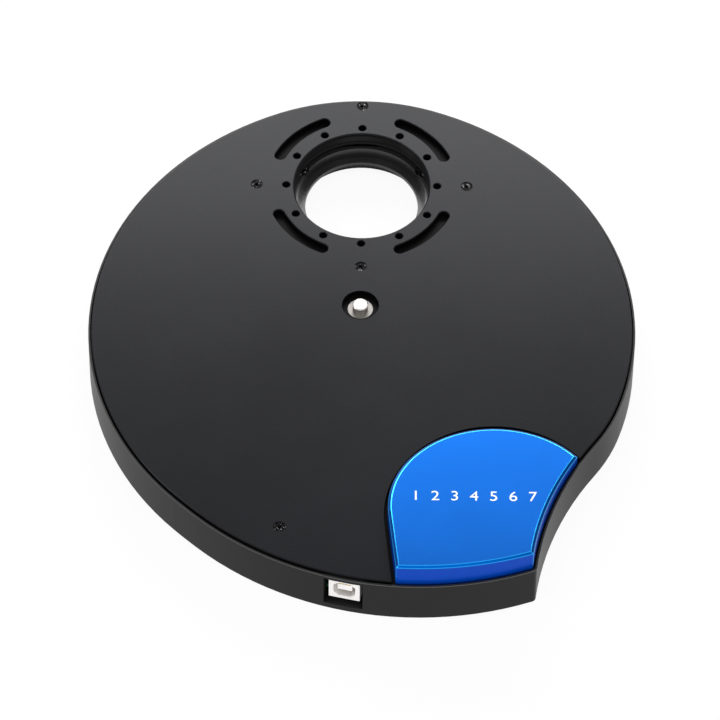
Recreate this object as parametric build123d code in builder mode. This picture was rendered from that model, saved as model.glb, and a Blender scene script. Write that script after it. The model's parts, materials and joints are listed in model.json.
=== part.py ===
from build123d import *
import os
from math import acos, atan2, cos, degrees, hypot, pi, radians, sin, sqrt, tan

# Seven-position filter wheel for 2 inch unmounted filters, in millimetres. The light path runs
# along Z through the origin, and z = 0 is the flat telescope-side face. The carousel turns
# about the hub, which lies bore_to_hub towards -Y.

# Light path and filters
bore_to_hub = 61.3
cell_count = 7
filter_d = 50.8
filter_play = 0.1
clear_aperture = 45.0
thread_r = 27.0
thread_lead_in = 0.4

# Heights of the stack, from the telescope side up
tray_floor = 5.0
carousel_lift = 2.4
filter_ledge = 1.6
carousel_t = 6.8
lid_bottom = 16.5
lid_t = 5.0
rim_h = 20.2

# Housing outline: arcs tangent to each other, seen from the hub
far_reach = 106.7
far_r = 85.0
far_right_deg = 71.0
far_left_deg = 113.0
right_flank_r = 118.0
right_flank_deg = -19.5
waist_r = 70.0
waist_deg = -36.0
tail_hollow_r = 128.0
left_flank_r = 119.3
left_flank_deg = 225.5
left_flat_r = 250.0
left_flat_deg = 228.2
near_r = 125.5
tail_tip_r = 2.0
bottom_edge = 0.6

# Rim, groove and lid edge
lip_t = 0.7
groove_w = 0.6
edge_break = 0.35
chamber_r = 96.0
bay_wall = 5.5
bay_floor = 2.4
bay_left = -46.0
bay_top = -60.0
bay_step = 1.0
boss_r = 4.0

# Camera face
camera_pcd = 60.0
camera_holes = 12
camera_hole_r = 1.5
camera_hole_lead = 0.25
camera_hole_depth = 4.0
slot_r = 36.0
slot_w = 4.4
slot_lead = 0.3
slot_start = 25.0
slot_sweep = 40.0
slot_depth = 3.0
ring_screw_r = 41.7
baffle_r = 46.0
baffle_t = 1.3
baffle_side_gap = 0.5
lid_screw_x = -29.7
lid_screw_y = -108.2

# Small countersunk screws
screw_r = 1.25
screw_head_r = 2.35
screw_head_h = 1.4
screw_sink = 0.3
socket_r = 0.85
socket_depth = 0.8
screw_tip_gap = 0.3
base_screw_ring = 101.0
base_screw_angles = (30, 65, 115, 150, 190, -12)
foot_screw_ring = 6.5
long_screw = 12.0
ring_screw = 5.7
base_screw = 19.0
foot_screw = 6.3
pan_head_r = 2.5
pan_head_t = 1.3
pan_shank = 6.0
thread_play = 0.02

# Hub
hub_recess_r = 7.25
hub_recess_depth = 2.5
pin_r = 3.05
pin_proud = 0.7
bush_r = 4.9
bush_play = 0.03
axle_r = 4.0
axle_foot_r = 9.0
bearing_split_r = 6.0
bearing_outer_r = 8.0
running_play = 0.05
foot_gap = 0.2
clip_t = 0.6
pin_chamfer = 0.4
bush_proud = 0.1

# Carousel and drive
wheel_r = 88.0
tooth_module = 1.25
wheel_teeth = 148
pinion_teeth = 16
pressure_angle = 20.0
backlash = 0.16
rim_t = 3.2
drive_deg = -63.4
pinion_t = 3.6
shaft_r = 1.5
motor_r = 14.0
motor_top = 22.2
bracket_t = 1.5
bracket_z = 11.6
bracket_ear = 19.0
bracket_set = 6.0
post_r = 3.6
bracket_r = 13.5
motor_boss_r = 4.5
motor_edge_r = 0.8
motor_ear_t = 0.8
shaft_in_motor = 1.5
shaft_end_gap = 0.2
retainer_reach = 27.6
retainer_head_r = 2.6
retainer_head_t = 1.2
retainer_z = 12.85
retainer_shank_r = 0.8
retainer_shank = 2.6
retainer_pocket_play = 0.2
retainer_angles = (60.0, -60.0, 180.0)
magnet_track_r = 80.0
magnet_r = 1.5
magnet_t = 1.5

# Access cover: round end, straight left side, top rising towards the near rim
cover_x = 52.3
cover_y = -101.6
cutout_r = 42.5
cover_gap = 1.5
cutout_lean_deg = 6.0
shelf_depth = 3.0
shelf_w = 7.0
cover_edge_gap = 0.3
cover_far_rise = 0.9
cover_tilt_deg = 6.1
cover_wall = 1.8
cover_chamfer = 1.2
cover_chamfer_drop = 0.6
cover_magnet_r = 2.0
cover_magnet_t = 1.2
cover_magnet_set = 4.6
cover_magnet_angles = (60, 115, 170)
near_magnet_set = 6.5
near_magnet_deg = -77.0
cover_boss_r = 2.9
cover_boss_h = 2.4
seat_gap = 0.05

# USB-B socket and circuit board, placed square to the near wall
usb_deg = -102.6
usb_inset = 2.2
usb_w = 12.0
usb_h = 10.9
usb_deep = 16.0
usb_window_w = 8.5
usb_window_h = 7.8
usb_window_cut = 1.9
usb_window_deep = 10.0
tongue_w = 5.6
tongue_h = 3.2
tongue_long = 8.8
contact_w = 1.0
contact_t = 0.3
contact_pitch = 2.5
contact_back = 0.6
usb_recess_w = 15.2
usb_recess_low = 3.4
usb_recess_high = 18.6
board_w = 40.0
board_start = 5.2
board_end = 27.0
board_t = 1.6
board_z = 3.8
standoff_r = 2.4
board_screw_x = 17.0
board_screw_y = 8.0
board_screw_r = 1.0
board_screw_head_r = 1.9
board_screw_head_t = 1.0
board_shank = 1.2
board_corner_r = 1.5
chip_x = 11.0
chip_y = 20.5
chip_w = 7.0
driver_w = 5.0
chip_t = 1.0
capacitor_x = 11.0
capacitor_y = 11.5
capacitor_r = 3.1
capacitor_h = 6.0
capacitor_edge_r = 0.4
header_x = 12.0
header_y = 13.0
header_w = 7.5
header_d = 4.5
header_h = 5.0
header_wall = 0.8
sensor_w = 8.0
sensor_long = 20.0
sensor_t = 0.8
hall_w = 4.0
hall_d = 3.0
hall_t = 1.0

lid_top = lid_bottom + lid_t
lid_inset = lip_t + groove_w
carousel_z = tray_floor + carousel_lift
carousel_top = carousel_z + carousel_t
ledge_z = carousel_z + filter_ledge
cell_r = filter_d / 2 + filter_play / 2
wheel_pitch_r = tooth_module * wheel_teeth / 2
pinion_pitch_r = tooth_module * pinion_teeth / 2
drive_centre_r = wheel_pitch_r + pinion_pitch_r
shelf_z = lid_top - shelf_depth
cell_step = 360 / cell_count


def ray(radius, angle):
    """Point at a distance and an angle in degrees."""
    return (radius * cos(radians(angle)), radius * sin(radians(angle)))


def moved(point, distance, angle):
    """Point shifted by a distance along an angle in degrees."""
    step = ray(distance, angle)
    return (point[0] + step[0], point[1] + step[1])


def at_hub(height):
    """Horizontal plane whose origin is the hub axis."""
    return Plane(origin=(0, -bore_to_hub, height))


# Centres of the outline's arcs, each tangent to the one before
far_centre = (0, far_reach - far_r)
right_centre = moved(far_centre, far_r - right_flank_r, far_right_deg)
waist_centre = moved(right_centre, right_flank_r - waist_r, right_flank_deg)
hollow_centre = moved(waist_centre, waist_r + tail_hollow_r, waist_deg)
left_centre = moved(far_centre, far_r - left_flank_r, far_left_deg)
flat_centre = moved(left_centre, left_flank_r - left_flat_r, left_flank_deg)
near_centre = moved(flat_centre, left_flat_r - near_r, left_flat_deg)


def tail_tip(inset):
    """Where the hollow side of the tail meets the near arc, inside the wall by inset."""
    hollow_r = tail_hollow_r + inset
    outer_r = near_r - inset
    dx = near_centre[0] - hollow_centre[0]
    dy = near_centre[1] - hollow_centre[1]
    span = hypot(dx, dy)
    along = (hollow_r ** 2 - outer_r ** 2 + span ** 2) / (2 * span)
    across = sqrt(hollow_r ** 2 - along ** 2)
    x = hollow_centre[0] + (along * dx - across * dy) / span
    y = hollow_centre[1] + (along * dy + across * dx) / span
    return (x, y)


def direction(start, end):
    """Angle in degrees from one point to another, from 0 to 360."""
    return degrees(atan2(end[1] - start[1], end[0] - start[0])) % 360


def housing_shape(inset, tip_r=0.0):
    """The housing's outline as a face, seen from the hub, drawn in from the wall by inset."""
    tip = tail_tip(inset)
    hollow_start = 180 + waist_deg
    near_start = left_flat_deg - 360
    near_end = direction(near_centre, tip) - 360
    hollow_end = direction(hollow_centre, tip)
    with BuildSketch() as shape:
        with BuildLine():
            CenterArc(far_centre, far_r - inset, far_right_deg, far_left_deg - far_right_deg)
            CenterArc(left_centre, left_flank_r - inset, far_left_deg, left_flank_deg - far_left_deg)
            CenterArc(flat_centre, left_flat_r - inset, left_flank_deg, left_flat_deg - left_flank_deg)
            CenterArc(near_centre, near_r - inset, near_start, near_end - near_start)
            CenterArc(hollow_centre, tail_hollow_r + inset, hollow_start, hollow_end - hollow_start)
            CenterArc(waist_centre, waist_r - inset, waist_deg, right_flank_deg - waist_deg)
            CenterArc(right_centre, right_flank_r - inset, right_flank_deg,
                      far_right_deg - right_flank_deg)
        make_face()
        if tip_r > inset:
            fillet(shape.vertices().sort_by_distance(tip)[0], radius=tip_r - inset)
    return shape.sketch


def cover_shape(inset, reach=150.0):
    """The cover's round end and straight side, running out past the near and right walls."""
    radius = cutout_r - inset
    side_angle = 180 + cutout_lean_deg
    touch = moved((cover_x, cover_y), radius, side_angle)
    with BuildSketch() as shape:
        with Locations((cover_x, cover_y)):
            Circle(radius)
        with BuildLine():
            Polyline(touch, moved(touch, reach, side_angle + 90),
                     (cover_x + reach, cover_y - reach), (cover_x + reach, cover_y),
                     (cover_x, cover_y), close=True)
        make_face()
    return shape.sketch


def screw_tool(length, sink):
    """Clearance for one countersunk screw whose head lies sink below the face."""
    with BuildPart(mode=Mode.PRIVATE) as tool:
        with BuildSketch(Plane.XZ):
            with BuildLine():
                Polyline((0, sink), (screw_head_r + thread_play, sink),
                         (screw_head_r + thread_play, 0), (screw_r + thread_play, -screw_head_h),
                         (screw_r + thread_play, -length - screw_tip_gap),
                         (0, -length - screw_tip_gap), close=True)
            make_face()
        revolve(axis=Axis.Z)
    return tool.part


def screw_solid(length):
    """One countersunk screw, head upwards, kept out of the running builder."""
    with BuildPart(mode=Mode.PRIVATE) as screw:
        with BuildSketch(Plane.XZ):
            with BuildLine():
                Polyline((0, 0), (screw_head_r, 0), (screw_r, -screw_head_h), (screw_r, -length),
                         (0, -length), close=True)
            make_face()
        revolve(axis=Axis.Z)
        with BuildSketch(Plane.XY):
            RegularPolygon(radius=socket_r, side_count=6)
        extrude(amount=-socket_depth, mode=Mode.SUBTRACT)
    return screw.part


def gear_points(teeth, flank_radii):
    """Outline of an involute gear, as points round its pitch circle from angle zero."""
    pitch_r = tooth_module * teeth / 2
    base_r = pitch_r * cos(radians(pressure_angle))
    points = []
    for tooth in range(teeth):
        middle = 2 * pi * tooth / teeth
        halves = []
        for radius in flank_radii:
            tilt = acos(min(1.0, base_r / radius))
            spread = tan(tilt) - tilt
            full = tan(radians(pressure_angle)) - radians(pressure_angle)
            halves.append(pi / (2 * teeth) - backlash / (2 * pitch_r) + full - spread)
        rising = [(r, middle - half) for r, half in zip(flank_radii, halves)]
        falling = [(r, middle + half) for r, half in zip(flank_radii[::-1], halves[::-1])]
        points += [(r * cos(a), r * sin(a)) for r, a in rising + falling]
    return points


# Places shared by several pieces, in plan
near_hub = (0, -bore_to_hub)
ring_points = [ray(ring_screw_r, angle) for angle in (180, 270, 0)]
long_points = [ray(ring_screw_r, 90), (lid_screw_x, lid_screw_y - bore_to_hub)]
base_points = [moved(near_hub, base_screw_ring, angle) for angle in base_screw_angles]
foot_points = [moved(near_hub, foot_screw_ring, angle) for angle in (30, 150, 270)]
drive_point = moved(near_hub, drive_centre_r, drive_deg)
ear_middle = moved(drive_point, bracket_set, drive_deg)
ear_points = [moved(ear_middle, side * bracket_ear, drive_deg + 90) for side in (1, -1)]
cover_centre = (cover_x, cover_y - bore_to_hub)
cover_magnet_points = [moved(cover_centre, cutout_r - cover_magnet_set, angle)
                       for angle in cover_magnet_angles]
near_magnet = moved(near_centre, near_r - near_magnet_set, near_magnet_deg)
cover_magnet_points.append((near_magnet[0], near_magnet[1] - bore_to_hub))
cell_points = [moved(near_hub, bore_to_hub, 90 + cell_step * cell) for cell in range(cell_count)]
retainer_points = [moved(point, retainer_reach, 90 + cell_step * cell + angle)
                   for cell, point in enumerate(cell_points) for angle in retainer_angles]

# Socket frame: x along the wall, z out of it; board frame: y inwards from the socket's face
usb_front = moved(near_centre, near_r - usb_inset, usb_deg)
usb_low = board_z + board_t
usb_along = ray(1, usb_deg + 90)
usb_out = ray(1, usb_deg)
socket_plane = Plane(origin=(usb_front[0], usb_front[1] - bore_to_hub, usb_low + usb_h / 2),
                     x_dir=(usb_along[0], usb_along[1], 0), z_dir=(usb_out[0], usb_out[1], 0))


def board_plane(height):
    """Horizontal plane under the socket's front, its y axis pointing into the housing."""
    return Plane(origin=(usb_front[0], usb_front[1] - bore_to_hub, height),
                 x_dir=(usb_along[0], usb_along[1], 0), z_dir=(0, 0, 1))


def board_spot(x, y):
    """Plan place of a point given in the board's own axes."""
    return (usb_front[0] + x * usb_along[0] - y * usb_out[0],
            usb_front[1] - bore_to_hub + x * usb_along[1] - y * usb_out[1])


board_screw_spots = [board_spot(x, y) for x, y in
                     ((board_screw_x, board_screw_y), (-board_screw_x, board_screw_y),
                      (0, board_end - standoff_r))]

with BuildSketch() as bay:
    add(housing_shape(bay_wall))
    with Locations((bay_left, bay_top)):
        Rectangle(2 * far_reach + 2 * near_r, 2 * near_r, align=(Align.MIN, Align.MAX),
                  mode=Mode.INTERSECT)

# Housing tray: floor with the telescope thread, wall, rim, chamber and electronics bay
with BuildPart() as tray:
    with BuildSketch(at_hub(0)):
        add(housing_shape(bottom_edge, tail_tip_r))
    with BuildSketch(at_hub(bottom_edge)):
        add(housing_shape(0, tail_tip_r))
    loft(ruled=True)
    with BuildSketch(at_hub(bottom_edge)):
        add(housing_shape(0, tail_tip_r))
    extrude(amount=rim_h - bottom_edge)
    with BuildSketch(at_hub(lid_bottom)):
        add(housing_shape(lip_t, tail_tip_r))
    extrude(amount=rim_h, mode=Mode.SUBTRACT)
    with BuildSketch(at_hub(tray_floor)):
        Circle(chamber_r)
        add(bay.sketch)
    extrude(amount=rim_h, mode=Mode.SUBTRACT)
    with BuildSketch(at_hub(bay_floor)):
        add(bay.sketch)
        Circle(chamber_r + bay_step, mode=Mode.SUBTRACT)
    extrude(amount=tray_floor - bay_floor, mode=Mode.SUBTRACT)
    with BuildSketch(Plane.XY.offset(bay_floor)):
        with Locations(long_points[1]):
            Circle(boss_r)
    extrude(amount=lid_bottom - bay_floor)
    with BuildSketch(Plane.XY.offset(bay_floor)):
        with Locations(*ear_points):
            Circle(post_r)
    extrude(amount=bracket_z - bay_floor)
    with BuildSketch(Plane.XY.offset(bay_floor)):
        with Locations(*board_screw_spots):
            Circle(standoff_r)
    extrude(amount=board_z - bay_floor)
    with BuildSketch(socket_plane.offset(usb_inset + edge_break)):
        with Locations((0, (usb_recess_low + usb_recess_high) / 2 - usb_low - usb_h / 2)):
            Rectangle(usb_recess_w, usb_recess_high - usb_recess_low)
    extrude(amount=-bay_wall - usb_inset, mode=Mode.SUBTRACT)
    with Locations((0, 0, tray_floor)):
        Hole(thread_r, depth=tray_floor)
    with BuildSketch(Plane.XY):
        Circle(thread_r + thread_lead_in)
    extrude(amount=thread_lead_in, taper=45, mode=Mode.SUBTRACT)
    for point in long_points:
        with Locations((*point, lid_top - screw_sink)):
            add(screw_tool(long_screw, screw_sink), mode=Mode.SUBTRACT)
    for point in base_points:
        with Locations(Location((*point, screw_sink), (180, 0, 0))):
            add(screw_tool(base_screw, screw_sink), mode=Mode.SUBTRACT)
    for point in foot_points:
        with Locations(Location((*point, screw_sink), (180, 0, 0))):
            add(screw_tool(foot_screw, screw_sink), mode=Mode.SUBTRACT)
    with Locations(*[(*point, bracket_z) for point in ear_points]):
        Hole(screw_r + thread_play, depth=pan_shank)
    with Locations(*[(*point, board_z) for point in board_screw_spots]):
        Hole(board_screw_r + thread_play, depth=board_shank)
tray.part.label = "housing_tray"

# Lid plate: camera thread, bolt circle, arc slots, hub recess and the cover's shelf
with BuildPart() as lid:
    with BuildSketch(at_hub(lid_bottom)):
        add(housing_shape(lid_inset, tail_tip_r))
    extrude(amount=lid_t - edge_break)
    with BuildSketch(at_hub(lid_top - edge_break)):
        add(housing_shape(lid_inset, tail_tip_r))
    with BuildSketch(at_hub(lid_top)):
        add(housing_shape(lid_inset + edge_break, tail_tip_r))
    loft(ruled=True)
    with BuildSketch(at_hub(shelf_z)):
        add(cover_shape(0), mode=Mode.ADD)
    extrude(amount=lid_t, mode=Mode.SUBTRACT)
    with BuildSketch(at_hub(lid_bottom)):
        add(housing_shape(lid_inset + shelf_w))
        add(cover_shape(shelf_w), mode=Mode.INTERSECT)
    extrude(amount=lid_t, mode=Mode.SUBTRACT)
    with Locations((0, 0, lid_top)):
        Hole(thread_r, depth=lid_t)
    with BuildSketch(Plane.XY.offset(lid_top)):
        Circle(thread_r + thread_lead_in)
    extrude(amount=-thread_lead_in, taper=45, mode=Mode.SUBTRACT)
    with BuildSketch(Plane.XY.offset(lid_top)):
        with PolarLocations(camera_pcd / 2, camera_holes):
            Circle(camera_hole_r)
    extrude(amount=-camera_hole_depth, mode=Mode.SUBTRACT)
    with BuildSketch(Plane.XY.offset(lid_top)):
        with PolarLocations(camera_pcd / 2, camera_holes):
            Circle(camera_hole_r + camera_hole_lead)
    extrude(amount=-camera_hole_lead, taper=45, mode=Mode.SUBTRACT)
    with BuildSketch(Plane.XY.offset(lid_top)):
        for quarter in range(4):
            SlotArc(CenterArc((0, 0), slot_r, slot_start + 90 * quarter, slot_sweep,
                              mode=Mode.PRIVATE), slot_w)
    extrude(amount=-slot_depth, mode=Mode.SUBTRACT)
    with BuildSketch(Plane.XY.offset(lid_top)):
        for quarter in range(4):
            SlotArc(CenterArc((0, 0), slot_r, slot_start + 90 * quarter, slot_sweep,
                              mode=Mode.PRIVATE), slot_w + 2 * slot_lead)
    extrude(amount=-slot_lead, taper=45, mode=Mode.SUBTRACT)
    with BuildSketch(at_hub(lid_top)):
        Circle(hub_recess_r)
    extrude(amount=-hub_recess_depth, mode=Mode.SUBTRACT)
    with BuildSketch(at_hub(lid_bottom)):
        Circle(bush_r + thread_play)
    extrude(amount=lid_t, mode=Mode.SUBTRACT)
    for point in ring_points:
        with Locations((*point, lid_top - screw_sink)):
            add(screw_tool(ring_screw, screw_sink), mode=Mode.SUBTRACT)
    for point in long_points:
        with Locations((*point, lid_top - screw_sink)):
            add(screw_tool(long_screw, screw_sink), mode=Mode.SUBTRACT)
    for point in base_points:
        with Locations(Location((*point, screw_sink), (180, 0, 0))):
            add(screw_tool(base_screw, screw_sink), mode=Mode.SUBTRACT)
    with Locations(*[(*point, shelf_z) for point in cover_magnet_points]):
        Hole(cover_magnet_r + thread_play, depth=cover_magnet_t)
lid.part.label = "lid_plate"

# Fasteners of the lid, seen from above and from below
with BuildPart() as ring_screws:
    for point in ring_points:
        with Locations((*point, lid_top - screw_sink)):
            add(screw_solid(ring_screw))
ring_screws.part.label = "ring_screws"

with BuildPart() as lid_screws:
    for point in long_points:
        with Locations((*point, lid_top - screw_sink)):
            add(screw_solid(long_screw))
lid_screws.part.label = "lid_screws"

with BuildPart() as base_screws:
    for point in base_points:
        with Locations(Location((*point, screw_sink), (180, 0, 0))):
            add(screw_solid(base_screw))
base_screws.part.label = "base_screws"

with BuildPart() as foot_screws:
    for point in foot_points:
        with Locations(Location((*point, screw_sink), (180, 0, 0))):
            add(screw_solid(foot_screw))
foot_screws.part.label = "foot_screws"

# Baffle ring that keeps stray light from passing over the carousel
with BuildPart() as baffle:
    with BuildSketch(Plane.XY.offset(lid_bottom - baffle_t)):
        Circle(baffle_r)
        Circle(thread_r, mode=Mode.SUBTRACT)
        with Locations(near_hub):
            Circle(chamber_r - baffle_side_gap, mode=Mode.INTERSECT)
    extrude(amount=baffle_t)
    for point in ring_points:
        with Locations((*point, lid_top - screw_sink)):
            add(screw_tool(ring_screw, screw_sink), mode=Mode.SUBTRACT)
baffle.part.label = "baffle_ring"

# Hub: axle on a foot, its pin through the lid's bush, inner bearing ring and clip
axle_foot_top = carousel_z - foot_gap
pin_top = lid_top + pin_proud
with BuildPart() as axle:
    with BuildSketch(Plane.XZ.offset(bore_to_hub)):
        with BuildLine():
            Polyline((0, tray_floor), (axle_foot_r, tray_floor), (axle_foot_r, axle_foot_top),
                     (axle_r, axle_foot_top), (axle_r, lid_bottom - bush_play),
                     (pin_r, lid_bottom - bush_play), (pin_r, pin_top - pin_chamfer),
                     (pin_r - pin_chamfer, pin_top), (0, pin_top), close=True)
        make_face()
    revolve(axis=Axis((0, -bore_to_hub, 0), (0, 0, 1)))
    for point in foot_points:
        with Locations(Location((*point, screw_sink), (180, 0, 0))):
            add(screw_tool(foot_screw, screw_sink), mode=Mode.SUBTRACT)
axle.part.label = "hub_axle"

with BuildPart() as bush:
    with BuildSketch(at_hub(lid_bottom)):
        Circle(bush_r)
        Circle(pin_r + bush_play, mode=Mode.SUBTRACT)
    extrude(amount=lid_t - hub_recess_depth + bush_proud)
bush.part.label = "hub_bush"

with BuildPart() as inner_ring:
    with BuildSketch(at_hub(axle_foot_top)):
        Circle(bearing_split_r)
        Circle(axle_r + thread_play, mode=Mode.SUBTRACT)
    extrude(amount=carousel_top - axle_foot_top)
inner_ring.part.label = "bearing_inner"

with BuildPart() as clip:
    with BuildSketch(at_hub(carousel_top)):
        Circle(bearing_split_r - running_play)
        Circle(axle_r + thread_play, mode=Mode.SUBTRACT)
        with Locations((bearing_split_r, 0)):
            Rectangle(bearing_split_r, axle_r, mode=Mode.SUBTRACT)
    extrude(amount=clip_t)
clip.part.label = "hub_clip"

with BuildPart() as outer_ring:
    with BuildSketch(at_hub(carousel_z)):
        Circle(bearing_outer_r)
        Circle(bearing_split_r + running_play, mode=Mode.SUBTRACT)
    extrude(amount=carousel_t)
outer_ring.part.label = "bearing_outer"

# Carousel: seven stepped filter cells in a disc with a toothed rim
wheel_flanks = (wheel_pitch_r - 1.15 * tooth_module, wheel_pitch_r + 0.95 * tooth_module)
pinion_flanks = (pinion_pitch_r - 1.2 * tooth_module, pinion_pitch_r - 0.45 * tooth_module,
                 pinion_pitch_r + 0.25 * tooth_module, pinion_pitch_r + 0.95 * tooth_module)
with BuildPart() as carousel:
    with BuildSketch(Plane(origin=(0, -bore_to_hub, carousel_z),
                           x_dir=(*ray(1, drive_deg), 0), z_dir=(0, 0, 1))):
        with BuildLine():
            Polyline(*gear_points(wheel_teeth, wheel_flanks), close=True)
        make_face()
    extrude(amount=rim_t)
    with BuildSketch(at_hub(carousel_z)):
        Circle(wheel_r)
    extrude(amount=carousel_t)
    with BuildSketch(at_hub(carousel_z)):
        Circle(bearing_outer_r + thread_play)
        with PolarLocations(bore_to_hub, cell_count, start_angle=90):
            Circle(clear_aperture / 2)
    extrude(amount=carousel_t, mode=Mode.SUBTRACT)
    with BuildSketch(at_hub(ledge_z)):
        with PolarLocations(bore_to_hub, cell_count, start_angle=90):
            Circle(cell_r)
    extrude(amount=carousel_t, mode=Mode.SUBTRACT)
    with BuildSketch(Plane.XY.offset(retainer_z)):
        with Locations(*retainer_points):
            Circle(retainer_head_r + retainer_pocket_play)
    extrude(amount=carousel_t, mode=Mode.SUBTRACT)
    with Locations(*[(*point, retainer_z) for point in retainer_points]):
        Hole(retainer_shank_r + thread_play, depth=retainer_shank)
    with BuildSketch(at_hub(carousel_z)):
        with PolarLocations(magnet_track_r, cell_count, start_angle=90 + cell_step / 2):
            Circle(magnet_r + thread_play)
    extrude(amount=magnet_t, mode=Mode.SUBTRACT)
carousel.part.label = "filter_carousel"

with BuildPart() as retainers:
    with BuildSketch(Plane.XY.offset(retainer_z)):
        with Locations(*retainer_points):
            Circle(retainer_shank_r)
    extrude(amount=-retainer_shank)
    with BuildSketch(Plane.XY.offset(retainer_z)):
        with Locations(*retainer_points):
            Circle(retainer_head_r)
    extrude(amount=retainer_head_t)
retainers.part.label = "retaining_screws"

with BuildPart() as index_magnets:
    with BuildSketch(at_hub(carousel_z)):
        with PolarLocations(magnet_track_r, cell_count, start_angle=90 + cell_step / 2):
            Circle(magnet_r)
    extrude(amount=magnet_t)
index_magnets.part.label = "index_magnets"

# Drive: pinion and shaft, motor on its bracket
pinion_z = carousel_z - (pinion_t - rim_t) / 2
pinion_turn = drive_deg + 180 + 180 / pinion_teeth
with BuildPart() as pinion:
    with BuildSketch(Plane(origin=(*drive_point, pinion_z), x_dir=(*ray(1, pinion_turn), 0),
                           z_dir=(0, 0, 1))):
        with BuildLine():
            Polyline(*gear_points(pinion_teeth, pinion_flanks), close=True)
        make_face()
        Circle(shaft_r + thread_play, mode=Mode.SUBTRACT)
    extrude(amount=pinion_t)
pinion.part.label = "drive_pinion"

motor_z = bracket_z + bracket_t
with BuildPart() as shaft:
    with BuildSketch(Plane.XY.offset(pinion_z)):
        with Locations(drive_point):
            Circle(shaft_r)
    extrude(amount=motor_z - pinion_z + shaft_in_motor)
shaft.part.label = "motor_shaft"


def ear_shape(width):
    """Draw the slot-shaped outline that joins the two mounting ears, in the running sketch."""
    with Locations(Location((*ear_middle, 0), (0, 0, drive_deg + 90))):
        SlotCenterToCenter(2 * bracket_ear, width)


with BuildPart() as bracket:
    with BuildSketch(Plane.XY.offset(bracket_z)):
        ear_shape(2 * post_r)
        with Locations(drive_point):
            Circle(bracket_r)
            Circle(motor_boss_r + running_play, mode=Mode.SUBTRACT)
        with Locations(*ear_points):
            Circle(screw_r + thread_play, mode=Mode.SUBTRACT)
    extrude(amount=bracket_t)
bracket.part.label = "motor_bracket"

with BuildPart() as motor:
    with BuildSketch(Plane.XY.offset(motor_z)):
        with Locations(drive_point):
            Circle(motor_r)
    extrude(amount=motor_top - motor_z)
    fillet(motor.faces().sort_by(Axis.Z)[-1].edges(), radius=motor_edge_r)
    with BuildSketch(Plane.XY.offset(motor_z)):
        ear_shape(2 * post_r)
    extrude(amount=motor_ear_t)
    with BuildSketch(Plane.XY.offset(motor_z)):
        with Locations(drive_point):
            Circle(motor_boss_r)
    extrude(amount=-bracket_t)
    with BuildSketch(Plane.XY.offset(bracket_z)):
        with Locations(drive_point):
            Circle(shaft_r + running_play)
    extrude(amount=bracket_t + shaft_in_motor + shaft_end_gap, mode=Mode.SUBTRACT)
    with Locations(*[(*point, motor_z + motor_ear_t) for point in ear_points]):
        Hole(screw_r + thread_play, depth=motor_ear_t)
motor.part.label = "stepper_motor"

with BuildPart() as motor_screws:
    with BuildSketch(Plane.XY.offset(motor_z + motor_ear_t)):
        with Locations(*ear_points):
            Circle(screw_r)
    extrude(amount=-motor_ear_t - bracket_t - pan_shank + screw_tip_gap)
    with BuildSketch(Plane.XY.offset(motor_z + motor_ear_t)):
        with Locations(*ear_points):
            Circle(pan_head_r)
    extrude(amount=pan_head_t)
motor_screws.part.label = "motor_screws"

# USB-B socket: metal shell with a keyed window, insulating tongue, four contacts
with BuildPart() as socket:
    with BuildSketch(socket_plane):
        Rectangle(usb_w, usb_h)
    extrude(amount=-usb_deep)
    with BuildSketch(socket_plane) as window:
        Rectangle(usb_window_w, usb_window_h)
        chamfer(window.vertices().group_by(Axis.Z)[-1], length=usb_window_cut)
    extrude(amount=-usb_window_deep, mode=Mode.SUBTRACT)
socket.part.label = "usb_shell"

with BuildPart() as tongue:
    with BuildSketch(socket_plane.offset(-usb_window_deep)):
        Rectangle(tongue_w, tongue_h)
    extrude(amount=tongue_long)
tongue.part.label = "usb_tongue"

with BuildPart() as contacts:
    with BuildSketch(socket_plane.offset(-usb_window_deep)):
        for side in (1, -1):
            with Locations((0, side * (tongue_h + contact_t) / 2)):
                with GridLocations(contact_pitch, 0, 2, 1):
                    Rectangle(contact_w, contact_t)
    extrude(amount=tongue_long - contact_back)
contacts.part.label = "usb_contacts"

# Electronics: main board with its parts, and the sensor board under the carousel
with BuildPart() as board:
    with BuildSketch(board_plane(board_z)):
        with Locations((0, (board_start + board_end) / 2)):
            RectangleRounded(board_w, board_end - board_start, board_corner_r)
    extrude(amount=board_t)
    with Locations(*[(*point, board_z + board_t) for point in board_screw_spots]):
        Hole(board_screw_r + thread_play, depth=board_t)
board.part.label = "main_board"

with BuildPart() as board_screws:
    with BuildSketch(Plane.XY.offset(board_z + board_t)):
        with Locations(*board_screw_spots):
            Circle(board_screw_r)
    extrude(amount=-board_t - board_shank + screw_tip_gap)
    with BuildSketch(Plane.XY.offset(board_z + board_t)):
        with Locations(*board_screw_spots):
            Circle(board_screw_head_r)
    extrude(amount=board_screw_head_t)
board_screws.part.label = "board_screws"

with BuildPart() as chips:
    with BuildSketch(board_plane(board_z + board_t)):
        with Locations((-chip_x, chip_y)):
            Rectangle(chip_w, chip_w)
        with Locations((chip_x, chip_y)):
            Rectangle(driver_w, driver_w)
    extrude(amount=chip_t)
chips.part.label = "board_chips"

with BuildPart() as capacitor:
    with BuildSketch(board_plane(board_z + board_t)):
        with Locations((-capacitor_x, capacitor_y)):
            Circle(capacitor_r)
    extrude(amount=capacitor_h)
    fillet(capacitor.faces().sort_by(Axis.Z)[-1].edges(), radius=capacitor_edge_r)
capacitor.part.label = "board_capacitor"

with BuildPart() as header:
    with BuildSketch(board_plane(board_z + board_t)):
        with Locations((header_x, header_y)):
            Rectangle(header_w, header_d)
    extrude(amount=header_h)
    with BuildSketch(board_plane(board_z + board_t + header_h)):
        with Locations((header_x, header_y)):
            Rectangle(header_w - 2 * header_wall, header_d - 2 * header_wall)
    extrude(amount=-header_h + header_wall, mode=Mode.SUBTRACT)
header.part.label = "motor_header"

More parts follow.
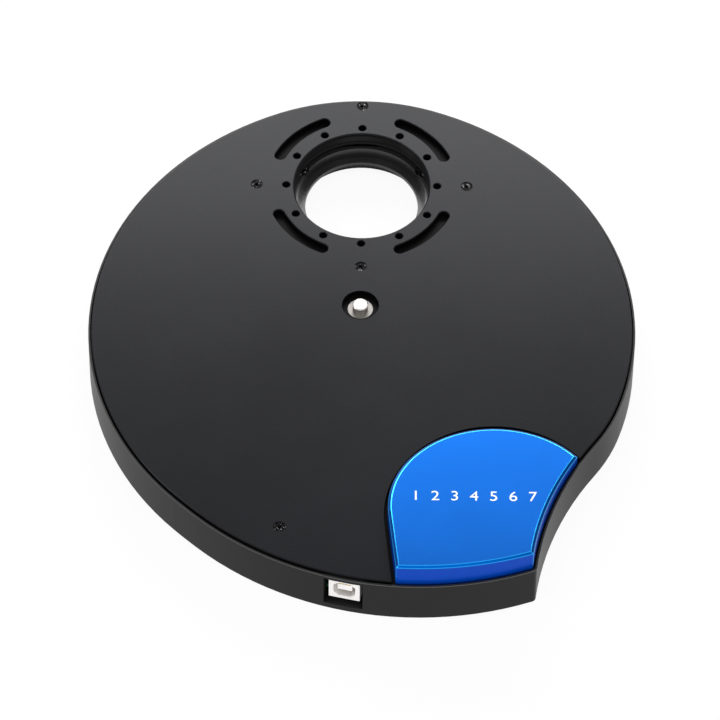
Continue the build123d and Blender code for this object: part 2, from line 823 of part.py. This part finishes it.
with BuildPart() as sensor_board:
    with BuildSketch(at_hub(tray_floor)):
        with Locations((0, -magnet_track_r + sensor_w / 2)):
            Rectangle(sensor_w, sensor_long, align=(Align.CENTER, Align.MAX))
    extrude(amount=sensor_t)
sensor_board.part.label = "sensor_board"

with BuildPart() as hall_sensor:
    with BuildSketch(at_hub(tray_floor + sensor_t)):
        with Locations((0, -magnet_track_r)):
            Rectangle(hall_w, hall_d)
    extrude(amount=hall_t)
hall_sensor.part.label = "hall_sensor"

# Access cover: raised wedge on the lid's shelf, hollow inside, held by magnets
cover_top_plane = Plane(origin=(0, cover_centre[1] + cutout_r, lid_top + cover_far_rise),
                        x_dir=(1, 0, 0),
                        z_dir=(0, sin(radians(cover_tilt_deg)), cos(radians(cover_tilt_deg))))
cover_inset = lid_inset + cover_edge_gap
with BuildPart() as cover_hollow:
    with BuildSketch(at_hub(shelf_z)):
        add(housing_shape(cover_inset + cover_wall))
        add(cover_shape(cover_gap + cover_wall), mode=Mode.INTERSECT)
    extrude(amount=near_r)
    split(bisect_by=cover_top_plane.offset(-cover_wall), keep=Keep.BOTTOM)

with BuildPart() as cover_walls:
    with BuildSketch(at_hub(shelf_z + seat_gap)):
        add(housing_shape(cover_inset))
        add(cover_shape(cover_gap), mode=Mode.INTERSECT)
    extrude(amount=near_r)
    split(bisect_by=cover_top_plane.offset(-cover_chamfer_drop), keep=Keep.BOTTOM)

with BuildPart() as cover_core:
    with BuildSketch(at_hub(shelf_z + seat_gap)):
        add(housing_shape(cover_inset + cover_chamfer))
        add(cover_shape(cover_gap + cover_chamfer), mode=Mode.INTERSECT)
    extrude(amount=near_r)
    split(bisect_by=cover_top_plane, keep=Keep.BOTTOM)

with BuildPart() as cover:
    loft(sections=[cover_walls.faces().sort_by(Axis.Z)[-1], cover_core.faces().sort_by(Axis.Z)[-1]],
         ruled=True)
    add(cover_walls.part)
    add(cover_hollow.part, mode=Mode.SUBTRACT)
    with BuildSketch(Plane.XY.offset(shelf_z + seat_gap)):
        with Locations(*cover_magnet_points):
            Circle(cover_boss_r)
    extrude(amount=cover_boss_h)
    with Locations(*[(*point, shelf_z + seat_gap + cover_magnet_t)
                     for point in cover_magnet_points]):
        Hole(cover_magnet_r + thread_play, depth=cover_magnet_t)
cover.part.label = "access_cover"

with BuildPart() as cover_magnets:
    with BuildSketch(Plane.XY.offset(shelf_z + seat_gap)):
        with Locations(*cover_magnet_points):
            Circle(cover_magnet_r)
    extrude(amount=cover_magnet_t)
cover_magnets.part.label = "cover_magnets"

with BuildPart() as lid_magnets:
    with BuildSketch(Plane.XY.offset(shelf_z)):
        with Locations(*cover_magnet_points):
            Circle(cover_magnet_r)
    extrude(amount=-cover_magnet_t)
lid_magnets.part.label = "lid_magnets"

pieces = [tray, lid, ring_screws, lid_screws, base_screws, foot_screws, baffle, axle, bush,
          inner_ring, clip, outer_ring, carousel, retainers, index_magnets, pinion, shaft,
          bracket, motor, motor_screws, socket, tongue, contacts, board, board_screws, chips,
          capacitor, header, sensor_board, hall_sensor, cover, cover_magnets, lid_magnets]
os.makedirs("parts", exist_ok=True)
for piece in pieces:
    export_step(piece.part, f"parts/{piece.part.label}.step")
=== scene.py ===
import json
from math import radians

import bmesh
import bpy
from mathutils import Matrix, Vector


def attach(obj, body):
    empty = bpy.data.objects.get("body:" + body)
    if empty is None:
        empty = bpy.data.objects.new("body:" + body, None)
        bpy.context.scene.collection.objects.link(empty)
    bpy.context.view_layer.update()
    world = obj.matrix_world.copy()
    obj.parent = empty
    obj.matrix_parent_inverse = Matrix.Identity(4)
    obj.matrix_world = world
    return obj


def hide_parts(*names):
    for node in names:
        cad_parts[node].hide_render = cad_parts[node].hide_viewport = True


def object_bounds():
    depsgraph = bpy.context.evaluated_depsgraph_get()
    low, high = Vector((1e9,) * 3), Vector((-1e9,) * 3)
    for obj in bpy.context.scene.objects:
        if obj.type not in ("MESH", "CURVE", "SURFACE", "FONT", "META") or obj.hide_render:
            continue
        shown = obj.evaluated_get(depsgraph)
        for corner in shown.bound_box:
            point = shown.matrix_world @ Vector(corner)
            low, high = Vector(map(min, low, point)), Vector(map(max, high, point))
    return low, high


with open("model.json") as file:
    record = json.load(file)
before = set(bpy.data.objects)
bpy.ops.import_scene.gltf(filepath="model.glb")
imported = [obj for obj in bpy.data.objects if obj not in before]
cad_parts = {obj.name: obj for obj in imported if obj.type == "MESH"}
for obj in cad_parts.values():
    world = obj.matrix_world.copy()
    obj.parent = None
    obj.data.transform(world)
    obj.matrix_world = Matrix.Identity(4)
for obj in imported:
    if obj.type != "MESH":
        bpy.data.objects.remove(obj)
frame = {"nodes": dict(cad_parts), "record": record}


def joint_at(name):
    """Where a joint of the part sits."""
    return Vector(next(joint["pos_m"] for joint in frame["record"]["behaviour"]["joints"]
                       if joint["name"] == name))


# Lengths are in millimetres, and mm turns them into metres. The camera's clipping,
# the floor's side and the lamps are in metres.
mm = 0.001
weld = 0.002
lid_top = 21.5
rim_top = 20.2
# Faces of the lid deeper than sunk_depth below its top, in slots, holes and the bore, get
# painted shade
sunk_depth = 0.45

cad_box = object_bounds()
nodes = frame["nodes"]
hub = joint_at("carousel_turn")
pinion = joint_at("pinion_spin")


# Camera: a long lens, looking down at the camera side from the socket's end

picture_side = 720
focal_px = 5500.0
sensor = 36.0
aim = Vector((0.1, -88.7, 21.5)) * mm
stand = Vector((0.1, -1413.0, 1692.0)) * mm
camera_roll = 0.65

lens = bpy.data.cameras.new("studio_camera")
lens.sensor_width = sensor
lens.lens = sensor * focal_px / picture_side
lens.clip_start = 0.05
lens.clip_end = 20.0
camera = bpy.data.objects.new("studio_camera", lens)
camera.rotation_mode = "QUATERNION"
turn = (aim - stand).to_track_quat("-Z", "Y").to_matrix().to_4x4()
roll = Matrix.Rotation(radians(camera_roll), 4, "Z")
camera.matrix_world = Matrix.Translation(stand) @ turn @ roll
bpy.context.scene.collection.objects.link(camera)
bpy.context.scene.camera = camera


# Finishes

step_half = 0.04
# Painted shade for sunk faces: a dark colour with little gloss
recess_shade_colour = (0.002, 0.002, 0.002)
recess_shade_rough = 0.45
recess_shade_gloss = 0.05


class Reading:
    """A value inside a finish, with arithmetic on it."""

    def __init__(self, finish, socket):
        self.finish = finish
        self.socket = socket

    def math(self, operation, *values):
        return self.finish.node("ShaderNodeMath", {"operation": operation}, values)

    def __add__(self, other):
        return self.math("ADD", self, other)

    def __sub__(self, other):
        return self.math("SUBTRACT", self, other)

    def __rsub__(self, other):
        return self.math("SUBTRACT", other, self)

    def __mul__(self, other):
        return self.math("MULTIPLY", self, other)

    def __gt__(self, other):
        return self.math("GREATER_THAN", self, other)

    def __lt__(self, other):
        return self.math("LESS_THAN", self, other)

    __radd__ = __add__
    __rmul__ = __mul__


class Finish:
    """A surface finish: one Principled shader and the nodes that feed it."""

    def __init__(self, name, **constants):
        self.material = bpy.data.materials.new(name)
        self.material.use_nodes = True
        self.tree = self.material.node_tree
        self.tree.nodes.clear()
        self.shader = self.principled(**constants)
        self.out = self.tree.nodes.new("ShaderNodeOutputMaterial")
        self.tree.links.new(self.shader.outputs[0], self.out.inputs["Surface"])

    def principled(self, **constants):
        made = self.tree.nodes.new("ShaderNodeBsdfPrincipled")
        for name, value in constants.items():
            made.inputs[name.replace("_", " ")].default_value = value
        return made

    def feed(self, **values):
        for name, value in values.items():
            self.put(self.shader.inputs[name.replace("_", " ")], value)

    def put(self, socket, value):
        if isinstance(value, Reading):
            self.tree.links.new(value.socket, socket)
        else:
            socket.default_value = value

    def node(self, kind, settings, values, output=0):
        made = self.tree.nodes.new(kind)
        for name, value in settings.items():
            setattr(made, name, value)
        pairs = values.items() if isinstance(values, dict) else enumerate(values)
        for name, value in pairs:
            self.put(made.inputs[name], value)
        return Reading(self, made.outputs[output])

    def place(self, shift=(0, 0, 0), stretch=(1, 1, 1)):
        """Object coordinates, moved so that shift becomes their centre, and stretched."""
        whole = self.node("ShaderNodeTexCoord", {}, {}, "Object")
        moved = self.node("ShaderNodeVectorMath", {"operation": "SUBTRACT"}, (whole, shift))
        return self.node("ShaderNodeVectorMath", {"operation": "MULTIPLY"}, (moved, stretch))

    def step_up(self, height):
        """0 below a height in millimetres and 1 above it."""
        level = self.node("ShaderNodeSeparateXYZ", {}, (self.place(),), "Z")
        return self.node("ShaderNodeMapRange", {}, {
            "Value": level, "From Min": (height - step_half) * mm,
            "From Max": (height + step_half) * mm})

    def paint_shade_below(self, height):
        """Paint shade on everything below a height: swap in a dark shader with little gloss."""
        painted_shade = self.principled(Base_Color=tone(recess_shade_colour), Roughness=recess_shade_rough,
                               Specular_IOR_Level=recess_shade_gloss)
        blend = self.tree.nodes.new("ShaderNodeMixShader")
        self.put(blend.inputs[0], self.step_up(height))
        self.tree.links.new(painted_shade.outputs[0], blend.inputs[1])
        self.tree.links.new(self.shader.outputs[0], blend.inputs[2])
        self.tree.links.new(blend.outputs[0], self.out.inputs["Surface"])

    def noise(self, scale, detail=2.0, rough=0.5, where=None):
        return self.node("ShaderNodeTexNoise", {}, {
            "Vector": where or self.place(), "Scale": scale,
            "Detail": detail, "Roughness": rough})

    def mix(self, share, first, second):
        return self.node("ShaderNodeMix", {"data_type": "RGBA"},
                         {0: share, 6: tone(first), 7: tone(second)}, 2)

    def bump(self, height, depth, strength=1.0):
        return self.node("ShaderNodeBump", {}, {
            "Height": height, "Distance": depth, "Strength": strength})


def tone(colour):
    """A colour with its alpha, or the reading as it is."""
    return colour if isinstance(colour, Reading) else (*colour, 1.0)


def shade(colour, share):
    return tuple(share * part for part in colour)


haze_size = 1.5
cloud_size = 45
speck_size = 0.35
speck_above = 0.69
speck_share = 0.35
speck_gain = 1.9
# A band of painted highlight below a rim: where it starts and ends below the rim, and how much
# paler it is
highlight_foot = 0.40
highlight_head = 0.02
highlight_gain = 9.0
fleck_above = 0.655


def blasted(name, colour, rough, grain_mm, sunk=None, highlight_height=None, **constants):
    """Bead-blasted and anodised aluminium: fine even grain, faint clouds in the dye.

    Faces below the height sunk get painted shade: a dark shader with little gloss. A paler
    band just below the height highlight_height is painted highlight, standing in for light
    caught by the broken edge round a rim.
    """
    finish = Finish(name, **constants)
    grain = finish.noise(1 / (grain_mm * mm), detail=3.0, rough=0.6)
    clouds = finish.noise(1 / (cloud_size * mm), detail=2.0)
    specks = finish.noise(1 / (speck_size * mm), detail=1.0)
    dye = finish.mix(clouds, shade(colour, 0.82), shade(colour, 1.18))
    # Painted highlight: a paler band just below the rim, for light off its broken edge
    if highlight_height is not None:
        edge = finish.step_up(highlight_height - highlight_foot) - finish.step_up(highlight_height - highlight_head)
        dye = finish.mix(edge, dye, shade(colour, highlight_gain))
    finish.feed(
        Base_Color=finish.mix((specks > speck_above) * speck_share,
                              dye, shade(colour, speck_gain)),
        Roughness=rough + 0.10 * (grain - 0.5) + 0.07 * (clouds - 0.5),
        Normal=finish.bump(grain, 0.012 * mm, 0.35))
    # Painted shade on the sunk faces
    if sunk is not None:
        finish.paint_shade_below(sunk)
    return finish.material


def turned(name, colour, rough, centre, pitch_mm, **constants):
    """Metal turned about an upright axis: fine rings, and a little haze."""
    finish = Finish(name, **constants)
    rings = finish.node("ShaderNodeTexWave", {
        "wave_type": "RINGS", "rings_direction": "Z"}, {
        "Vector": finish.place(centre), "Scale": 0.31 / (pitch_mm * mm),
        "Distortion": 0.6, "Detail": 2.0})
    haze = finish.noise(1 / (haze_size * mm), detail=4.0)
    finish.feed(
        Base_Color=finish.mix(haze, shade(colour, 0.86), colour),
        Roughness=rough + 0.08 * rings + 0.10 * (haze - 0.5),
        Normal=finish.bump(rings, 0.004 * mm, 0.4))
    return finish.material


def worn_with_glints(name, colour, rough, bare_and_glint_colour, fleck_mm, **constants):
    """Blackened steel with small pale flecks: partly rubbed through to the metal, partly
    painted glints.
    """
    finish = Finish(name, **constants)
    wear_and_glints = finish.noise(1 / (fleck_mm * mm), detail=2.0)
    haze = finish.noise(1 / (haze_size * mm), detail=3.0)
    finish.feed(
        # Pale flecks: rub-through and painted glints
        Base_Color=finish.mix(wear_and_glints > fleck_above, colour, bare_and_glint_colour),
        Roughness=rough + 0.10 * (haze - 0.5),
        Normal=finish.bump(haze, 0.004 * mm, 0.3))
    return finish.material


def plated(name, colour, rough, **constants):
    """Plated or ground metal: cloudy brightness and small handling marks."""
    finish = Finish(name, **constants)
    clouds = finish.noise(1 / (3.0 * mm), detail=4.0, rough=0.6)
    marks = finish.noise(1 / (0.5 * mm), detail=2.0, where=finish.place(stretch=(1, 6, 1)))
    finish.feed(
        Base_Color=finish.mix(clouds, shade(colour, 0.80), colour),
        Roughness=rough + 0.16 * (clouds - 0.5) + 0.10 * (marks - 0.5),
        Normal=finish.bump(marks, 0.006 * mm, 0.3))
    return finish.material


def moulded(name, colour, rough, grain_mm, **constants):
    """Moulded plastic: a fine spark-eroded grain with slight flow marks."""
    finish = Finish(name, **constants)
    grain = finish.noise(1 / (grain_mm * mm), detail=3.0)
    flow = finish.noise(1 / (6.0 * mm), detail=1.0)
    finish.feed(
        Base_Color=finish.mix(flow, shade(colour, 0.90), colour),
        Roughness=rough + 0.14 * (grain - 0.5),
        Normal=finish.bump(grain, 0.01 * mm, 0.4))
    return finish.material


def solder_masked(name, mask, copper):
    """Green board: tracks showing through the mask, and tinned pads along them."""
    finish = Finish(name, Coat_Weight=0.3, Coat_Roughness=0.15)
    tracks = finish.node("ShaderNodeTexVoronoi", {
        "feature": "F1", "distance": "MANHATTAN"}, {
        "Vector": finish.place(), "Scale": 1 / (3.2 * mm), "Randomness": 0.7}, "Distance")
    weave = finish.noise(1 / (0.6 * mm), detail=2.0)
    on_track = (tracks > 0.46) * (tracks < 0.56)
    on_pad = tracks < 0.10
    woven = finish.mix(weave, shade(mask, 0.8), shade(mask, 1.2))
    green = finish.mix(on_track, woven, shade(mask, 2.2))
    finish.feed(
        Base_Color=finish.mix(on_pad, green, copper),
        Metallic=on_pad * 0.9,
        Roughness=0.42 - 0.12 * on_pad + 0.08 * (weave - 0.5),
        Normal=finish.bump(on_track + on_pad, 0.03 * mm, 0.5))
    return finish.material


def printed(name, colour):
    """Screen-printed ink: nearly even, with tiny pinholes."""
    finish = Finish(name, Specular_IOR_Level=0.3)
    ink = finish.noise(1 / (0.4 * mm), detail=3.0)
    finish.feed(
        Base_Color=finish.mix(ink > 0.68, colour, shade(colour, 0.8)),
        Roughness=0.55 + 0.12 * (ink - 0.5))
    return finish.material


# Grain, ring pitch and flecks are in millimetres
finishes = {
    # The body carries a painted highlight just under its rim
    "black_anodised_body": blasted(
        "body_black", (0.009, 0.009, 0.009), 0.40, 0.30, highlight_height=rim_top, Specular_IOR_Level=0.11),
    # The lid's slots, holes and bore walls are painted in shade below the height sunk
    "black_anodised_lid": blasted(
        "lid_black", (0.0045, 0.0049, 0.0068), 0.27, 0.22, sunk=lid_top - sunk_depth,
        Specular_IOR_Level=0.125),
    "black_anodised_wheel": blasted(
        "wheel_black", (0.012, 0.012, 0.013), 0.28, 0.25, Specular_IOR_Level=0.50),
    "blue_anodised_cover": blasted(
        "cover_blue", (0.0, 0.036, 0.165), 0.30, 0.25, Metallic=1.0),
    # Screws: pale flecks are part wear, part painted glints
    "black_screw": worn_with_glints(
        "screw_black", (0.003, 0.003, 0.003), 0.35, (0.45, 0.45, 0.46), 0.55,
        Specular_IOR_Level=0.03),
    "polished_steel": turned(
        "steel_turned", (0.52, 0.50, 0.48), 0.20, hub, 0.35, Metallic=1.0),
    "bearing_steel": turned(
        "steel_ground", (0.55, 0.55, 0.56), 0.24, hub, 0.3, Metallic=1.0),
    "zinc_plate": plated("zinc_sheet", (0.55, 0.56, 0.57), 0.34, Metallic=1.0),
    "zinc_screw": plated("zinc_bright", (0.60, 0.60, 0.60), 0.28, Metallic=1.0),
    "motor_case": plated("motor_can", (0.40, 0.40, 0.41), 0.30, Metallic=1.0),
    "socket_plastic": moulded("socket_white", (0.90, 0.88, 0.86), 0.36, 0.2),
    "gold_contact": plated("gold_flash", (0.83, 0.52, 0.18), 0.22, Metallic=1.0),
    "circuit_board": solder_masked("board_green", (0.010, 0.085, 0.030), (0.70, 0.68, 0.62)),
    "chip_plastic": moulded("chip_black", (0.022, 0.022, 0.023), 0.55, 0.12),
    "capacitor_can": plated("capacitor_bright", (0.62, 0.62, 0.64), 0.24, Metallic=1.0),
    "nickel_magnet": plated("magnet_nickel", (0.62, 0.61, 0.59), 0.16, Metallic=1.0),
    "brass_gear": turned(
        "gear_brass", (0.72, 0.52, 0.22), 0.28, pinion, 0.3, Metallic=1.0),
}
ink_white = printed("ink_white", (0.84, 0.85, 0.86))
bush_nickel = turned("bush_nickel", (0.19, 0.18, 0.17), 0.34, hub, 0.35, Metallic=1.0)
# Painted highlight for the cover's broken edges, and a paler, less metallic blue for its steep
# faces as painted light
edge_highlight_blue = blasted("edge_highlight_blue", (0.02, 0.33, 0.80), 0.22, 0.25, Metallic=0.9)
wall_lit_blue = blasted(
    "wall_lit_blue", (0.0, 0.052, 0.42), 0.34, 0.25, Metallic=0.45, Specular_IOR_Level=0.08)
# The camera-side thread is painted in shade: darker and less glossy than the telescope-side
# thread
thread_painted_shade = turned(
    "thread_painted_shade", (0.004, 0.004, 0.004), 0.35, (0, 0, 0), 0.3, Specular_IOR_Level=0.08)
thread_glossy = turned(
    "thread_glossy", (0.010, 0.010, 0.010), 0.20, (0, 0, 0), 0.3, Specular_IOR_Level=0.8)

for node in nodes.values():
    for place in node.material_slots:
        place.material = finishes[place.material.name.split(".")[0]]
nodes["hub_bush"].material_slots[0].material = bush_nickel


# Pieces that the solids leave plain

def fitted(mesh, name, body):
    """A mesh made into a piece at the origin, riding on a body."""
    piece = bpy.data.objects.new(name, mesh)
    bpy.context.scene.collection.objects.link(piece)
    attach(piece, body)
    return piece


def finished(form, name, finish, body, smooth=True):
    """A bmesh made into a piece with one finish."""
    bmesh.ops.recalc_face_normals(form, faces=form.faces)
    mesh = bpy.data.meshes.new(name)
    form.to_mesh(mesh)
    form.free()
    mesh.materials.append(finish)
    for face in mesh.polygons:
        face.use_smooth = smooth
    return fitted(mesh, name, body)


thread_pitch = 0.75
thread_crest = 26.62
thread_root = 26.88
thread_back = 26.96
thread_profile = ((thread_root, 0.1), (thread_crest, 0.45), (thread_crest, 0.55))
thread_sides = 128


def thread(name, low, high, finish):
    """A fine thread cut in a bore, as rings one pitch apart."""
    form = bmesh.new()
    steps = int((high - low) / thread_pitch)
    profile = [(thread_back, low)]
    for step in range(steps):
        start = low + step * thread_pitch
        profile += [(radius, start + share * thread_pitch) for radius, share in thread_profile]
    top = low + steps * thread_pitch
    profile += [(thread_root, top), (thread_back, top)]
    points = [form.verts.new((radius * mm, 0, height * mm)) for radius, height in profile]
    edges = [form.edges.new(pair) for pair in zip(points, points[1:] + points[:1])]
    bmesh.ops.spin(form, geom=points + edges, cent=(0, 0, 0), axis=(0, 0, 1),
                   angle=radians(360), steps=thread_sides, use_merge=True)
    bmesh.ops.remove_doubles(form, verts=form.verts, dist=weld * mm)
    return finished(form, name, finish, "housing", smooth=False)


# Camera-side rings carry painted shade
thread("camera_thread_rings", low=17.3, high=20.6, finish=thread_painted_shade)
thread("telescope_thread_rings", low=0.7, high=4.4, finish=thread_glossy)


ink_half = 0.015
ink_lift = 0.012


def numbers(name, words, size, centre, under, body):
    """Plain numbers printed on the top of a piece, in a straight row."""
    curve = bpy.data.curves.new(name, "FONT")
    curve.body = words
    curve.size = size * mm
    curve.align_x = "CENTER"
    curve.align_y = "CENTER"
    curve.extrude = ink_half * mm
    curve.resolution_u = 6
    text = bpy.data.objects.new(name + "_curve", curve)
    bpy.context.scene.collection.objects.link(text)
    bpy.context.view_layer.update()
    mesh = bpy.data.meshes.new_from_object(text)
    bpy.data.objects.remove(text)
    start = Vector((centre[0] * mm, centre[1] * mm, 1.0))
    hit, spot, normal, _ = under.ray_cast(start, (0, 0, -1))
    lean = Vector((0, 0, 1)).rotation_difference(normal).to_matrix().to_4x4()
    mesh.transform(Matrix.Translation(spot + normal * ink_lift * mm) @ lean)
    mesh.materials.clear()
    mesh.materials.append(ink_white)
    return fitted(mesh, name, body)


edge_round = 0.17
flat_deg = 0.5
corner_deg = 14
crease_deg = 24
wall_rise = 0.5


def broken_edges(node, name, body, finish, highlight_finish, lit_wall_finish, above):
    """A copy of a node whose outer corners above a height are broken, with a paler finish
    on the broken corners as painted highlight.

    Its steep faces take a finish of their own, paler and less metallic, as painted light.
    """
    form = bmesh.new()
    form.from_mesh(nodes[node].data)
    bmesh.ops.remove_doubles(form, verts=form.verts, dist=weld * mm)
    bmesh.ops.dissolve_limit(
        form, angle_limit=radians(flat_deg), verts=form.verts, edges=form.edges)
    corners = [edge for edge in form.edges if len(edge.link_faces) == 2
               and edge.calc_face_angle_signed() > radians(corner_deg)
               and max(vert.co.z for vert in edge.verts) > above * mm]
    bmesh.ops.bevel(form, geom=corners, offset=edge_round * mm, offset_type="OFFSET",
                    affect="EDGES", segments=2, profile=0.5, material=1, clamp_overlap=True)
    for face in form.faces:
        if face.material_index == 0 and abs(face.normal.z) < wall_rise:
            face.material_index = 2
    for edge in form.edges:
        one_piece = len({face.material_index for face in edge.link_faces}) == 1
        edge.smooth = one_piece and edge.calc_face_angle(0.0) < radians(crease_deg)
    piece = finished(form, name, finish, body)
    piece.data.materials.append(highlight_finish)
    piece.data.materials.append(lit_wall_finish)
    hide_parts(node)
    return piece


cover = broken_edges("access_cover", "access_cover_worked", "cover",
                     finishes["blue_anodised_cover"], edge_highlight_blue, wall_lit_blue, lid_top)

numbers("cover_numbers", "1  2  3  4  5  6  7", size=7.0, centre=(44.0, -158.0),
        under=cover, body="cover")


socket_deg = -102.6
contact_pitch = 2.5
contact_width = 1.9
contact_thick = 0.3
contact_reach = 1.6
contact_setback = 0.05
contact_lift = 0.01
contact_round = 0.08


def contact_tips(name):
    """The sprung ends of the upper contacts, laid over the front of the tongue."""
    size = Vector((contact_width, contact_reach, contact_thick)) * mm
    across = Matrix.Rotation(radians(socket_deg + 90), 4, "Z")
    corners = [across.inverted() @ vert.co for vert in nodes["usb_tongue"].data.vertices]
    tip = Vector((sum(spot.x for spot in corners) / len(corners),
                  min(spot.y for spot in corners), max(spot.z for spot in corners)))
    form = bmesh.new()
    for side in (-0.5, 0.5):
        box = bmesh.ops.create_cube(form, size=1.0)["verts"]
        bmesh.ops.scale(form, verts=box, vec=size)
        bmesh.ops.translate(form, verts=box, vec=tip + Vector(
            (side * contact_pitch, contact_reach / 2 + contact_setback,
             contact_thick / 2 + contact_lift)) * mm)
    bmesh.ops.bevel(form, geom=form.edges[:], offset=contact_round * mm, offset_type="OFFSET",
                    affect="EDGES", segments=2, profile=0.5, material=-1, clamp_overlap=True)
    bmesh.ops.transform(form, verts=form.verts, matrix=across)
    return finished(form, name, finishes["gold_contact"], "housing")


contact_tips("usb_contact_tips")


# Floor, background and light

floor_side = 8.0
floor_drop = 0.05
floor_share = 0.93
sky_dim = 0.36


def seen_share(tree, strength):
    """A factor: strength for camera, mirror and glass rays, and 0 for all others."""
    path = tree.nodes.new("ShaderNodeLightPath")
    seen = path.outputs["Is Camera Ray"]
    for kind in ("Is Glossy Ray", "Is Transmission Ray"):
        either = tree.nodes.new("ShaderNodeMath")
        either.operation = "MAXIMUM"
        tree.links.new(seen, either.inputs[0])
        tree.links.new(path.outputs[kind], either.inputs[1])
        seen = either.outputs[0]
    share = tree.nodes.new("ShaderNodeMath")
    share.operation = "MULTIPLY"
    share.inputs[1].default_value = strength
    tree.links.new(seen, share.inputs[0])
    return share.outputs[0]


floor_white = bpy.data.materials.new("floor_white")
floor_white.use_nodes = True
floor_tree = floor_white.node_tree
floor_tree.nodes.clear()
paper = floor_tree.nodes.new("ShaderNodeBsdfDiffuse")
paper.inputs["Color"].default_value = (0.88, 0.88, 0.88, 1)
glow = floor_tree.nodes.new("ShaderNodeEmission")
glow.inputs["Strength"].default_value = 1.0
blend = floor_tree.nodes.new("ShaderNodeMixShader")
floor_out = floor_tree.nodes.new("ShaderNodeOutputMaterial")
floor_tree.links.new(seen_share(floor_tree, floor_share), blend.inputs[0])
floor_tree.links.new(paper.outputs[0], blend.inputs[1])
floor_tree.links.new(glow.outputs[0], blend.inputs[2])
floor_tree.links.new(blend.outputs[0], floor_out.inputs["Surface"])

floor_form = bmesh.new()
bmesh.ops.create_grid(floor_form, x_segments=1, y_segments=1, size=floor_side / 2)
bmesh.ops.translate(
    floor_form, verts=floor_form.verts, vec=(0, 0, cad_box[0][2] - floor_drop * mm))
floor_mesh = bpy.data.meshes.new("studio_floor")
floor_form.to_mesh(floor_mesh)
floor_form.free()
floor_mesh.materials.append(floor_white)
floor = bpy.data.objects.new("studio_floor", floor_mesh)
bpy.context.scene.collection.objects.link(floor)

world = bpy.data.worlds.new("studio_world")
bpy.context.scene.world = world
world.use_nodes = True
sky = world.node_tree
sky.nodes.clear()
plain = sky.nodes.new("ShaderNodeBackground")
plain.inputs["Color"].default_value = (1, 1, 1, 1)
level = sky.nodes.new("ShaderNodeMapRange")
level.inputs["To Min"].default_value = sky_dim
level.inputs["To Max"].default_value = 1.0
sky_out = sky.nodes.new("ShaderNodeOutputWorld")
sky.links.new(seen_share(sky, 1.0), level.inputs["Value"])
sky.links.new(level.outputs[0], plain.inputs["Strength"])
sky.links.new(plain.outputs[0], sky_out.inputs["Surface"])


def panel(name, at, towards, width, depth, power):
    """A rectangular soft lamp, in metres and watts."""
    lamp = bpy.data.lights.new(name, "AREA")
    lamp.shape = "RECTANGLE"
    lamp.size = width
    lamp.size_y = depth
    lamp.energy = power
    stand_in = bpy.data.objects.new(name, lamp)
    stand_in.location = at
    stand_in.rotation_mode = "QUATERNION"
    stand_in.rotation_quaternion = (Vector(towards) - Vector(at)).to_track_quat("-Z", "Y")
    bpy.context.scene.collection.objects.link(stand_in)


panel("far_panel", (0.0, 0.43, 0.36), (0.0, 0.02, 0.02), 0.60, 0.26, 4.2)
panel("top_panel", (0.0, -0.42, 1.10), (0.0, -0.09, 0.02), 1.20, 0.30, 6.0)
panel("left_panel", (-0.95, -0.30, 0.35), (0.0, -0.09, 0.01), 0.25, 0.60, 1.5)
panel("horizon_panel", (0.0, 1.30, 0.22), (0.0, 0.0, 0.02), 2.40, 0.40, 6.0)
panel("front_panel", (0.15, -1.30, 0.17), (0.0, -0.15, 0.01), 1.20, 0.30, 8.0)

bpy.context.scene.view_settings.view_transform = "Standard"
